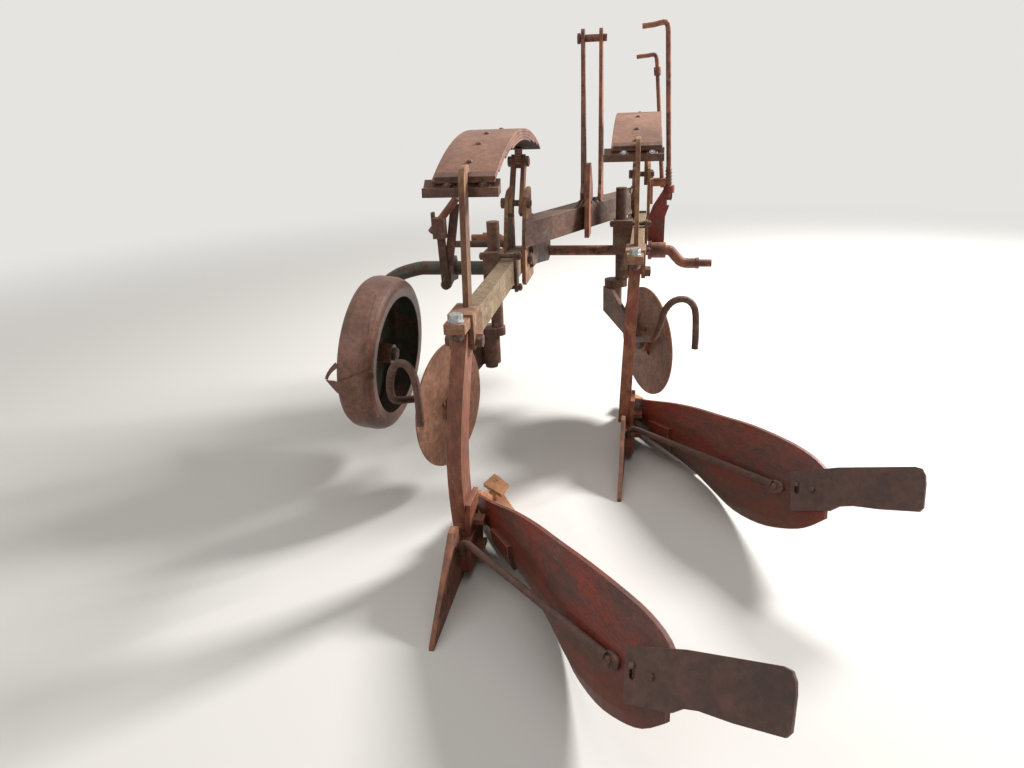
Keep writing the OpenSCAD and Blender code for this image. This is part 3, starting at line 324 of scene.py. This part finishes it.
# each spring pack knows the middle of its bow, its radius and the thickness of a leaf, in metres
springBow = {"y": 570, "top": 1062, "r": 940, "leaf": 8}
for side in sides:
    middle = atBody(side, 0, springBow["y"], springBow["top"] - springBow["r"])
    finishes[side + "Spring"] = {
        **finishes["springSteel"], "name": side + "RustedSpringSteel",
        "leaves": (middle.y, middle.z, springBow["r"] / 1000, springBow["leaf"] / 1000)}
coats = {key: weatheredFinish({**plainFinish, **spec}) for key, spec in finishes.items()}
print("stage: %d finishes" % len(coats))

# which finish each CAD node wears; rear_ and front_ are left off where both sides wear the same
wears = {
    "main_tube": "frameCoat", "bracket": "forgedHead", "bracket_bolts": "rustedBolt", "hangers": "frameCoat",
    "mast_bars": "rolledBar", "mast_pin": "rolledBar", "mast_gusset": "rolledBar", "cross_shaft": "rolledBar",
    "shaft_lever": "leverEnamel", "level_screw": "rolledBar", "width_screw": "rolledBar",
    "beam": "khakiCoat", "head": "forgedHead", "head_bolt": "zincBolt", "leg": "legEnamel",
    "frog": "legEnamel", "share": "freshRust", "shin": "freshRust", "moldboard": "boardEnamel",
    "landside": "rolledBar", "tail_piece": "tailPlate", "stay": "tailPlate",
    "rear_spring": "rearSpring", "front_spring": "frontSpring", "spring_clip": "darkIron",
    "pull_bar": "ochreIron", "strut": "ochreIron", "stem": "darkIron", "stem_clamp": "frameCoat",
    "coulter_arm": "darkIron", "hook_rod": "darkIron", "disc": "discSteel",
    "wheel": "wheelRust", "wheel_arm": "greenCoat", "wheel_bracket": "frameCoat", "wheel_lever": "darkIron",
    "wheel_link": "darkIron", "screw_bar": "darkIron", "wheel_screw": "rolledBar",
}


def plainName(node):
    for side in sides:
        if node.startswith(side + "_"):
            return node[len(side) + 1:]
    return node


# a second coat on those faces of a node that pass the test
def coatFaces(node, coat, test):
    mesh = nodes[node].data
    mesh.materials.append(coats[coat])
    for face in mesh.polygons:
        face.material_index = 1 if test(face) else 0


for name, obj in nodes.items():
    obj.data.materials.clear()
    obj.data.materials.append(coats[wears.get(name) or wears[plainName(name)]])

# of the head bolts only the new hexagon on top is zinc plated, the rest has rusted;
# the frog's saddle was sprayed together with the board; the worn end of the rear clip is bright
secondCoats = {"boltTop": 674, "saddle": 45, "clipEnd": -107, "endFaces": -0.9}  # mm, and a normal's x
for side in sides:
    saddle = atBody(side, secondCoats["saddle"], 0, 0).x
    coatFaces(side + "_head_bolt", "rustedBolt", lambda face: face.center.z <= secondCoats["boltTop"] / 1000)
    coatFaces(side + "_frog", "boardEnamel", lambda face: face.center.x > saddle)
clipEnd = atBody("rear", secondCoats["clipEnd"], 0, 0).x
coatFaces("rear_spring_clip", "zincBolt",
          lambda face: face.center.x < clipEnd and face.normal.x < secondCoats["endFaces"])
print("stage: nodes dressed")


# turns a small piece's mesh into an object on its body; edges sharper than the angle stay crisp
def addPiece(name, bm, coat, body, smooth=35):
    mesh = bpy.data.meshes.new(name)
    bm.normal_update()
    bm.to_mesh(mesh)
    bm.free()
    obj = bpy.data.objects.new(name, mesh)
    bpy.context.scene.collection.objects.link(obj)
    mesh.materials.append(coats[coat])
    for face in mesh.polygons:
        face.use_smooth = True
    mesh.set_sharp_from_angle(angle=math.radians(smooth))
    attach(obj, body)


trees = {}


# where a ray meets a CAD node: place and outward normal
def seat(node, start, way):
    if node not in trees:
        mesh = nodes[node].data
        trees[node] = BVHTree.FromPolygons([v.co for v in mesh.vertices],
                                           [list(p.vertices) for p in mesh.polygons])
    place, normal, _, _ = trees[node].ray_cast(start, Vector(way).normalized())
    if place is None:
        raise ValueError("nothing of %s on this ray" % node)
    if normal.dot(Vector(way)) > 0:
        normal = -normal
    return place, normal


# a frame whose Z is the given axis, standing at a place
def standing(place, axis, turn=0.0):
    m = Vector(axis).to_track_quat("Z", "Y").to_matrix().to_4x4()
    m.translation = place
    return m @ Matrix.Rotation(turn, 4, "Z")


# one of the corners of a ring about Z, in mm
def corner(r, k, corners, z=0):
    a = 2 * math.pi * k / corners
    return mm(r * math.cos(a), r * math.sin(a), z)


# rings of points joined to a closed form
def skinRings(bm, rings):
    for low, high in zip(rings, rings[1:]):
        for k in range(len(low)):
            e = (k + 1) % len(low)
            bm.faces.new((low[k], low[e], high[e], high[k]))
    bm.faces.new(list(reversed(rings[0])))
    bm.faces.new(rings[-1])


# form turned about Z; profile is radius and height in mm
def turnedForm(bm, profile, corners, m):
    skinRings(bm, [[bm.verts.new(m @ corner(r, k, corners, z)) for k in range(corners)] for r, z in profile])


# nuts: radii as shares of the size, heights in mm; a nut sinks a little into its seat
nutShape = {"washer": ((0.86, -0.6), (0.88, 0.4), (0.88, 2.0), (0.84, 2.5)), "sunk": -0.6, "onWasher": 2.4,
            "foot": (0.95, 0.8), "chamfer": (0.88, 1.4), "bolt": 0.31, "boltSunk": 0.5, "boltEnd": (0.8, 0.8)}


# washer, hexagon with a chamfered top and the bolt's end above it
def nutOn(bm, place, axis, across, high, turn=0.0, stub=3.0, washer=True):
    m = standing(place, axis, turn)
    base = nutShape["sunk"]
    if washer:
        turnedForm(bm, [(across * share, z) for share, z in nutShape["washer"]], 32, m)
        base = nutShape["onWasher"]
    r, top = across / math.sqrt(3), base + high
    (footShare, rise), (topShare, fall) = nutShape["foot"], nutShape["chamfer"]
    turnedForm(bm, [(r * footShare, base), (r, base + rise), (r, top - fall), (r * topShare, top)], 6, m)
    bolt, (endShare, bevel) = across * nutShape["bolt"], nutShape["boltEnd"]
    turnedForm(bm, [(bolt, top - nutShape["boltSunk"]), (bolt, top + stub - bevel),
                    (bolt * endShare, top + stub)], 20, m)


# low round bolt head
def cupHeadOn(bm, place, axis, d, high):
    r = d / 2
    dome = [(r * math.cos(math.radians(a)), high * math.sin(math.radians(a))) for a in (0, 20, 40, 60, 78)]
    turnedForm(bm, [(r * 0.98, nutShape["sunk"])] + dome, 28, standing(place, axis))


# screw thread: one ridge wound round a bar from a to b
def threadOn(bm, a, b, r, pitch, deep, corners=24, perTurn=6):
    length = (b - a).length * 1000
    m = standing(a, b - a)
    steps = int(length / pitch * perTurn)
    rings = []
    for i in range(steps + 1):
        z = length * i / steps
        fade = min(1.0, z / pitch, (length - z) / pitch)
        ring = []
        for k in range(corners):
            t = (z / pitch - k / corners) % 1.0
            h = r + deep * fade * (1 - abs(2 * t - 1))
            ring.append(bm.verts.new(m @ corner(h, k, corners, z)))
        rings.append(ring)
    skinRings(bm, rings)


# round bead swept along points, its radius rising and falling like laid weld, thin at both ends
def beadOn(bm, points, r, ripple, seed, corners=10, every=3.2, endShare=0.45):
    draw = random.Random(seed)
    path = []
    for a, b in zip(points, points[1:]):
        n = max(1, int((b - a).length * 1000 / every))
        path += [a.lerp(b, i / n) for i in range(n)]
    path.append(points[-1])
    rings = []
    for i, p in enumerate(path):
        way = (path[min(i + 1, len(path) - 1)] - path[max(i - 1, 0)]).normalized()
        m = standing(p, way)
        h = r * (1 + ripple * (0.5 - i % 2) + ripple * draw.uniform(-0.5, 0.5))
        if i in (0, len(path) - 1):
            h *= endShare
        rings.append([bm.verts.new(m @ corner(h, k, corners)) for k in range(corners)])
    skinRings(bm, rings)


# bolts through the spring packs: places along the pack, head (d, high) on top and nut (across, high) below
springBolts = {"x": -8, "above": 1300, "below": 700, "head": (17, 6), "nut": (19, 9),
               "rear": (255, 371, 480, 690, 800), "front": (443, 304, 220, 690, 800)}
for side in sides:
    bm = newMesh()
    for y in springBolts[side]:
        top = atBody(side, springBolts["x"], y, springBolts["above"])
        cupHeadOn(bm, *seat(side + "_spring", top, (0, 0, -1)), *springBolts["head"])
        under = atBody(side, springBolts["x"], y, springBolts["below"])
        nutOn(bm, *seat(side + "_spring", under, (0, 0, 1)), *springBolts["nut"], turn=y)
    addPiece(side + "SpringBolts", bm, "rustedBolt", "frame")

# the clip's two bolts, the front ones newer
clipBolts = {"x": (-45, 42), "from": (90, 1018), "aim": (0, 0.82, -0.57), "nut": (19, 8),
             "rear": "rustedBolt", "front": "zincBolt"}
for side in sides:
    bm = newMesh()
    for x in clipBolts["x"]:
        place, normal = seat(side + "_spring_clip", atBody(side, x, *clipBolts["from"]), clipBolts["aim"])
        nutOn(bm, place, normal, *clipBolts["nut"], turn=x)
    addPiece(side + "ClipBolts", bm, clipBolts[side], "frame")

# flattened foot of each stay with its nut on the board's back
stayFoot = {"end": (384, -503, 176), "from": (300, -420, 158), "off": (60, 60, -40),
            "aim": (0.66, 0.62, -0.43), "nut": (17, 7), "nutUp": 9.5, "stretch": 1.5,
            "profile": ((12, -2), (16.5, 1), (17, 4), (16.5, 8), (14, 10))}
for side in sides:
    end = atBody(side, *stayFoot["end"])
    place, normal = seat(side + "_moldboard", end - mm(*stayFoot["off"]), stayFoot["aim"])
    along = end - atBody(side, *stayFoot["from"])
    along = (along - normal * along.dot(normal)).normalized()
    m = Matrix((along, normal.cross(along), normal)).transposed().to_4x4()
    m.translation = place
    bm = newMesh()
    turnedForm(bm, stayFoot["profile"], 36, m @ Matrix.Diagonal((stayFoot["stretch"], 1.0, 1.0, 1.0)))
    nutOn(bm, place + normal * (stayFoot["nutUp"] / 1000), normal, *stayFoot["nut"],
          turn=0.3, stub=2, washer=False)
    addPiece(side + "StayFoot", bm, "darkIron", "frame")

# nuts in the slot and the hole of the tail plates: place in the soil face, width and height
tailNuts = {"nuts": ((427, -555.1, 212.7, 11.5, 5), (460.2, -581.4, 214.8, 13, 6)),
            "faces": (-0.5477, -0.6465, 0.5311)}
for side in sides:
    bm = newMesh()
    for x, y, z, across, high in tailNuts["nuts"]:
        nutOn(bm, atBody(side, x, y, z), tailNuts["faces"], across, high, turn=x, stub=1.5, washer=False)
    addPiece(side + "TailNuts", bm, "rustedBolt", "frame")

# countersunk bolt heads, flush in the soil face of board and share
ploughBolts = {"head": ((11, -1.5), (12, 0.0), (11.4, 0.9), (5, 1.3)),
               "board": ((56, 40, 120), (90, -30, 150), (120, -30, 95), (330, -420, 190), (400, -500, 205)),
               "off": (260, 220, -10), "aim": (-0.76, -0.64, 0.03),
               "share": ((60, 235, 300), (150, 110, 300), (240, -10, 300))}
for side in sides:
    seats = [seat(side + "_moldboard", atBody(side, *p) + mm(*ploughBolts["off"]), ploughBolts["aim"])
             for p in ploughBolts["board"]]
    seats += [seat(side + "_share", atBody(side, *p), (0, 0, -1)) for p in ploughBolts["share"]]
    bm = newMesh()
    for place, normal in seats:
        turnedForm(bm, ploughBolts["head"], 28, standing(place, normal))
    addPiece(side + "PloughBolts", bm, "rustedBolt", "frame")

# threads of the two crank screws and the short crank's thick sleeve; part is in shares of the screw
screws = {
    "levelScrewThread": {"foot": (284, 104, 750), "top": (263, 104, 1323), "part": (0.03, 0.21),
                         "r": 9.2, "pitch": 12, "deep": 4.0},
    "widthScrewThread": {"foot": (262, 475, 745), "top": (227, 475, 1227), "part": (0.02, 0.5),
                         "r": 8.2, "pitch": 5, "deep": 1.6},
    "widthScrewSleeve": {"foot": (262, 475, 745), "top": (227, 475, 1227), "part": (0.9, 0.965),
                         "r": 13, "pitch": 5, "deep": 2.0},
}
for name, spec in screws.items():
    a, b = (at(*spec["foot"]).lerp(at(*spec["top"]), share) for share in spec["part"])
    bm = newMesh()
    threadOn(bm, a, b, spec["r"], spec["pitch"], spec["deep"])
    addPiece(name, bm, "rolledBar", "frame", 60)

# weld beads: the tube's ends along the bracket plates, hangers and gusset along the tube's top
welds = {
    "ends": ((-176, -335, 1), (142, 290, -1)),  # x, y of the tube's middle there, side of the plate
    "slant": 63.03, "halfCut": 84.48, "tubeMiddle": 722, "halfTube": 40.5, "clear": 1.5,
    "onTop": ((-38.5, 80), (-25.5, 80), (25.5, 80), (38.5, 80), (-8.5, 60), (8.5, 60)),  # x, half the length
    "top": 763, "hangerEnd": 163, "r": 4.0, "ripple": 0.35,
}
runs = []
for x, y, way in welds["ends"]:
    x += way * welds["clear"]
    for up in (-1, 1):
        z = welds["tubeMiddle"] + up * welds["halfTube"]
        runs.append([(x, y - welds["halfCut"], z), (x, y + welds["halfCut"], z)])
for x, half in welds["onTop"]:
    mid = welds["ends"][0][1] + (x - welds["ends"][0][0]) * math.tan(math.radians(welds["slant"]))
    runs.append([(x, mid - half, welds["top"]), (x, min(mid + half, welds["hangerEnd"]), welds["top"])])
bm = newMesh()
for i, run in enumerate(runs):
    beadOn(bm, [at(*p) for p in run], welds["r"], welds["ripple"], seed=i)
addPiece("frameWelds", bm, "darkIron", "frame", 60)

# depth wheel: its middle, its lean and toe in degrees, and the right shoulder as axial place and radius
wheel = {"place": (-621, -620, 385), "lean": 5.3, "toe": 3.2, "half": 55, "leftShare": 0.8,
         "shoulder": ((0, 247), (20, 247), (35, 244), (46, 237), (52, 227), (55, 214))}
spinFrame = (Matrix.Translation(at(*wheel["place"])) @ Matrix.Rotation(math.radians(-wheel["toe"]), 4, "Z")
             @ Matrix.Rotation(math.radians(90 + wheel["lean"]), 4, "Y"))
fromWorld = spinFrame.inverted()


# radius of the tread at an axial place; the left shoulder is tighter
def treadRadius(axial):
    a = min(max(axial, -axial * wheel["leftShare"]), wheel["half"])
    for (a0, r0), (a1, r1) in zip(wheel["shoulder"], wheel["shoulder"][1:]):
        if a <= a1:
            return r0 + (r1 - r0) * (a - a0) / (a1 - a0)
    return wheel["shoulder"][-1][1]


# place on the wheel: axial mm, degrees from the top towards the rear, lift off the tread
def onWheel(axial, degrees, lift=0.0, r=None):
    a = math.radians(degrees)
    rr = (treadRadius(axial) if r is None else r) + lift
    return spinFrame @ mm(-rr * math.cos(a), -rr * math.sin(a), axial)


# the inside of the wheel still carries old green paint: faces beyond this radius that look at the axle,
# and those behind this axial place that look out of the open side
greenInside = {"beyond": 100, "behind": -30, "slope": 0.5}


def isWheelInside(face):
    c, n = fromWorld @ face.center, fromWorld.to_3x3() @ face.normal
    beyond = c.xy.length > greenInside["beyond"] / 1000
    looksIn = n.xy.dot(c.xy) < -greenInside["slope"] * c.xy.length
    return (beyond and looksIn) or (n.z > greenInside["slope"] and c.z < greenInside["behind"] / 1000)


coatFaces("wheel", "greenCoat", isWheelInside)

# weld seam across the tread: axial place and degrees where it starts, and how far it runs
seam = {"start": (22, 24), "run": (15, 32), "steps": 5, "lift": -0.4, "r": 1.7, "ripple": 0.3}
points = []
for i in range(seam["steps"] + 1):
    axial, degrees = (a + run * i / seam["steps"] for a, run in zip(seam["start"], seam["run"]))
    points.append(onWheel(axial, degrees, seam["lift"]))
bm = newMesh()
beadOn(bm, points, seam["r"], seam["ripple"], seed=5, corners=8)
addPiece("wheelSeam", bm, "darkIron", "wheel_body", 60)

# the lip: sheet lifted along the crack, flared out past the left flange; columns are axial place,
# degrees at the crack, radius there (None on the tread), how many degrees it reaches below
lip = {"line": ((-91, 94.6, 228, 0.8), (-80, 94.0, 231, 4.2), (-67, 93.3, 235, 7.4), (-55, 92.7, 240, 10.0),
                (-38, 91.9, None, 12), (-20, 89.5, None, 13), (0, 87.2, None, 13), (20, 84.6, None, 12),
                (40, 82.4, None, 10), (50, 81.4, None, 9), (56, 84.0, None, 6)),
       "lift": 9.0, "clear": 0.25, "flareShare": 0.6, "thick": 3.4, "rows": 8}
bm = newMesh()
outer, inner = [], []
for axial, degrees, r, reach in lip["line"]:
    above, below = [], []
    for j in range(lip["rows"] + 1):
        t = j / lip["rows"]
        lift = lip["lift"] * (1 - t) * lip["flareShare"]
        if r is None:
            lift = lip["clear"] + lip["lift"] * (1 - t) ** 2
        above.append(bm.verts.new(onWheel(axial, degrees + reach * t, lift, r)))
        below.append(bm.verts.new(onWheel(axial, degrees + reach * t, lift - lip["thick"], r)))
    outer.append(above)
    inner.append(below)
for sheet, way in ((outer, 1), (inner, -1)):
    for one, two in zip(sheet, sheet[1:]):
        for a, b, c, d in zip(one, one[1:], two[1:], two):
            bm.faces.new((a, b, c, d)[::way])
for edge in (0, -1):
    for one, two, three, four in zip(outer, outer[1:], inner[1:], inner):
        bm.faces.new((one[edge], two[edge], three[edge], four[edge]))
addPiece("wheelCrackLip", bm, "wheelRust", "wheel_body", 50)

# torn strip of the left flange, bent out in a bow above the flare: axial place, degrees, radius, width
flap = {"path": ((-50, 80.5, 240, 16), (-58, 82.5, 239, 15), (-69, 85.2, 236, 13), (-79, 88.4, 232, 11),
                 (-87, 91.6, 229, 10), (-91, 94.4, 228, 9)), "thick": 3.2, "meanR": 235}
rings = []
bm = newMesh()
for i, (axial, degrees, r, wide) in enumerate(flap["path"]):
    a0, g0 = flap["path"][max(i - 1, 0)][:2]
    a1, g1 = flap["path"][min(i + 1, len(flap["path"]) - 1)][:2]
    along = Vector((a1 - a0, math.radians(g1 - g0) * flap["meanR"])).normalized()
    across = Vector((-along.y, along.x)) * wide / 2
    ring = []
    for way, lift in ((1, 0), (1, -flap["thick"]), (-1, -flap["thick"]), (-1, 0)):
        turn = way * math.degrees(across.y / flap["meanR"])
        ring.append(bm.verts.new(onWheel(axial + way * across.x, degrees + turn, lift, r)))
    rings.append(ring)
skinRings(bm, rings)
addPiece("wheelTornFlap", bm, "wheelRust", "wheel_body", 40)

# bolts round the hub of each coulter disc, on both faces
discHub = {"trail": 285, "height": 286, "ring": 44, "count": 5, "first": 0.25, "clear": 120, "nut": (13, 6)}
upright = Vector((0, 0, 1))
for side in sides:
    hub = atCoulter(side, 0, -discHub["trail"], discHub["height"])
    axle = Matrix.Rotation(math.radians(-plough[side + "Swing"]), 3, "Z") @ Vector((1, 0, 0))
    bm = newMesh()
    for k in range(discHub["count"]):
        a = 2 * math.pi * (k + discHub["first"]) / discHub["count"]
        spot = hub + discHub["ring"] / 1000 * (upright * math.sin(a) + axle.cross(upright) * math.cos(a))
        for way in (-1, 1):
            start = spot - axle * way * (discHub["clear"] / 1000)
            nutOn(bm, *seat(side + "_disc", start, axle * way), *discHub["nut"], turn=a, stub=2, washer=False)
    addPiece(side + "DiscBolts", bm, "rustedBolt", side + "_disc_body")
print("stage: small pieces")

# the photograph's camera, its place given from below the headstock's middle
camera = {"lens": 27.04, "sensor": 36, "place": (231, -2860, 1200), "turn": 10.9, "down": 21.8, "roll": 2.5}


def makeCamera(c):
    turn, down, roll = (math.radians(c[k]) for k in ("turn", "down", "roll"))
    level = Vector((math.cos(turn), math.sin(turn), 0))
    ahead = Vector((-math.sin(turn) * math.cos(down), math.cos(turn) * math.cos(down), -math.sin(down)))
    above = Vector((-math.sin(turn) * math.sin(down), math.cos(turn) * math.sin(down), math.cos(down)))
    right = level * math.cos(roll) - above * math.sin(roll)
    up = level * math.sin(roll) + above * math.cos(roll)
    data = bpy.data.cameras.new("photoCamera")
    data.lens = c["lens"]
    data.sensor_width = c["sensor"]
    obj = bpy.data.objects.new("photoCamera", data)
    bpy.context.scene.collection.objects.link(obj)
    m = Matrix((right, up, -ahead)).transposed().to_4x4()
    m.translation = at(*c["place"])
    obj.matrix_world = m
    bpy.context.scene.camera = obj


makeCamera(camera)

# matt pale floor that fades into a pale distance, and three soft lamps; sizes in metres
studio = {
    "floorSize": 80, "floorHex": "#dedbd6", "floorRough": 0.9,
    "farHex": "#e6e4e1", "nearFade": 2.2, "farFade": 6.0,
    "worldHex": "#e9e6e1", "worldStrength": 0.32,
    "lamps": [  # name, place, target, size, watts
        ("keyLamp", (3.2, 2.4, 3.0), (0, 0.1, 0.4), 1.1, 430),
        ("fillLamp", (-2.4, -3.0, 2.6), (0, 0.1, 0.4), 3.0, 34),
        ("topLamp", (0.2, -0.1, 4.2), (0, 0.0, 0.4), 3.0, 40),
    ],
}


# true where the camera, a mirror or glass looks; never for light that falls on the plough
def seenRay(tree):
    rays = addNode(tree, "ShaderNodeLightPath").node.outputs
    seen = rays["Is Camera Ray"]
    for ray in ("Is Glossy Ray", "Is Transmission Ray"):
        seen = addNode(tree, "ShaderNodeMath", {"operation": "MAXIMUM", 0: seen, 1: rays[ray]})
    return seen


def makeFloor(s):
    half = s["floorSize"] / 2
    mesh = bpy.data.meshes.new("floor")
    corners = [(-half, -half, 0), (half, -half, 0), (half, half, 0), (-half, half, 0)]
    mesh.from_pydata(corners, [], [(0, 1, 2, 3)])
    floor = bpy.data.objects.new("floor", mesh)
    bpy.context.scene.collection.objects.link(floor)
    mat, tree = newMaterial("paleFloor")
    near = addNode(tree, "ShaderNodeBsdfPrincipled",
                   {"Base Color": linearFromHex(s["floorHex"]), "Roughness": s["floorRough"]})
    far = addNode(tree, "ShaderNodeEmission", {"Color": linearFromHex(s["farHex"]), "Strength": 1.0})
    place = addNode(tree, "ShaderNodeNewGeometry", out="Position")
    away = addNode(tree, "ShaderNodeVectorMath", {"operation": "LENGTH", 0: place}, "Value")
    fade = addNode(tree, "ShaderNodeMapRange", {
        "interpolation_type": "SMOOTHSTEP", "From Min": s["nearFade"], "From Max": s["farFade"],
        "Value": away})
    fac = addNode(tree, "ShaderNodeMath", {"operation": "MULTIPLY", 0: fade, 1: seenRay(tree)})
    both = addNode(tree, "ShaderNodeMixShader", {0: fac, 1: near, 2: far})
    addNode(tree, "ShaderNodeOutputMaterial", {"Surface": both})
    mesh.materials.append(mat)


def makeLight(s):
    world = bpy.data.worlds.new("paleWorld")
    world.use_nodes = True
    tree = world.node_tree
    tree.nodes.clear()
    lit = addNode(tree, "ShaderNodeBackground",
                  {"Color": linearFromHex(s["worldHex"]), "Strength": s["worldStrength"]})
    seen = addNode(tree, "ShaderNodeBackground", {"Color": linearFromHex(s["farHex"]), "Strength": 1.0})
    both = addNode(tree, "ShaderNodeMixShader", {0: seenRay(tree), 1: lit, 2: seen})
    addNode(tree, "ShaderNodeOutputWorld", {"Surface": both})
    bpy.context.scene.world = world

    for name, place, target, size, watts in s["lamps"]:
        data = bpy.data.lights.new(name, "AREA")
        data.size = size
        data.energy = watts
        obj = bpy.data.objects.new(name, data)
        bpy.context.scene.collection.objects.link(obj)
        aim = (Vector(target) - Vector(place)).to_track_quat("-Z", "Y").to_matrix().to_4x4()
        aim.translation = Vector(place)
        obj.matrix_world = aim


makeFloor(studio)
makeLight(studio)
bpy.context.scene.view_settings.view_transform = "Standard"
print("stage: camera, floor and light")
